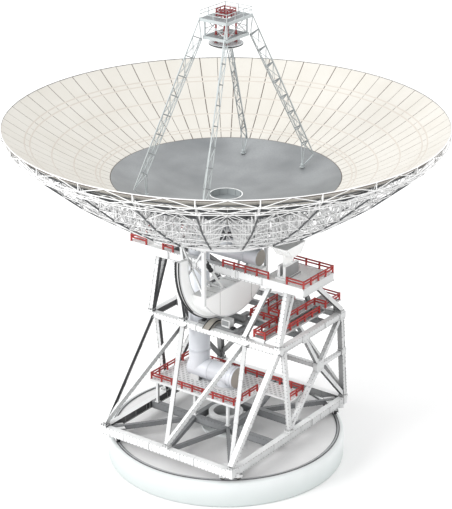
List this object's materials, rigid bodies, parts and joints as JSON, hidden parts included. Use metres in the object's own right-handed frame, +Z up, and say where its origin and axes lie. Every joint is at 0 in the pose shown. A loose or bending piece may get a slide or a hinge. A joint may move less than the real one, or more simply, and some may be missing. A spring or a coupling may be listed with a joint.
{
  "type": "radio telescope dish scale model",
  "caption": "Fully steerable radio telescope dish on a turning steel lattice base, with a round concrete foundation, beam pipes, lattice feed legs and a second reflector at the apex.",
  "frame": {"origin": "centre of the foundation's underside, at ground level, on the azimuth axis", "axes": "+Z up, +X along the elevation axis to the side where the beam pipe's blind end points, +Y to the back; the dish tips towards -Y"},
  "size_m": [32, 32, 34.9003],
  "materials": {
    "white_steel": "satin",
    "concrete": "matte",
    "track_steel": "satin",
    "red_rail": "satin",
    "cream_panel": "matte",
    "grey_panel": "satin",
    "dark_machinery": "satin",
    "blue_white_pipe": "satin"
  },
  "bodies": {
    "foundation": {"foundation_pad": "concrete", "track_rail": "track_steel", "pintle_base": "concrete"},
    "alidade": {"back_face": "white_steel", "base_frame": "white_steel", "bogie_back_left": "white_steel", "bogie_back_right": "white_steel", "bogie_front_left": "white_steel", "bogie_front_right": "white_steel", "drive_deck": "white_steel", "drive_deck_rails": "red_rail", "drive_floor_beams": "white_steel", "elevation_drive": "dark_machinery", "front_face": "white_steel", "front_girder": "white_steel", "left_bearing_housing": "white_steel", "left_face": "white_steel", "left_girder_rails": "red_rail", "left_platform_rails": "red_rail", "left_tower": "white_steel", "lower_beam_pipe": "blue_white_pipe", "lower_deck": "white_steel", "lower_deck_rails": "red_rail", "pintle_ring": "white_steel", "rear_cross_beam": "white_steel", "right_bearing_housing": "white_steel", "right_face": "white_steel", "right_girder_rails": "red_rail", "right_platform_rails": "red_rail", "right_tower": "white_steel", "upper_drive_deck": "white_steel", "upper_drive_deck_rails": "red_rail", "vertical_beam_pipe": "blue_white_pipe"},
    "reflector": {"apex_cage": "red_rail", "apex_frame": "white_steel", "apex_rails": "red_rail", "back_drum_frame": "white_steel", "backing_back_left": "white_steel", "backing_back_right": "white_steel", "backing_front_left": "white_steel", "backing_front_right": "white_steel", "counterweight_drum": "white_steel", "elevation_tube": "blue_white_pipe", "feed_leg_back_left": "white_steel", "feed_leg_back_right": "white_steel", "feed_leg_front_left": "white_steel", "feed_leg_front_right": "white_steel", "front_drum_frame": "white_steel", "hub_cross_frame": "white_steel", "hub_ring": "white_steel", "inner_reflector": "grey_panel", "left_bearing_arm": "white_steel", "outer_reflector": "cream_panel", "right_bearing_arm": "white_steel", "rim_truss": "white_steel", "subreflector": "white_steel", "subreflector_posts": "red_rail", "vertex_drum": "white_steel"}
  },
  "joints": [
    {"name": "azimuth_turn", "type": "hinge", "parent": "foundation", "child": "alidade", "pos_m": [0, 0, 2], "axis": [0, 0, 1], "range_deg": [-270, 270]},
    {"name": "elevation_tilt", "type": "hinge", "parent": "alidade", "child": "reflector", "pos_m": [0, 0, 16.52], "axis": [1, 0, 0], "range_deg": [0, 82]}
  ]
}
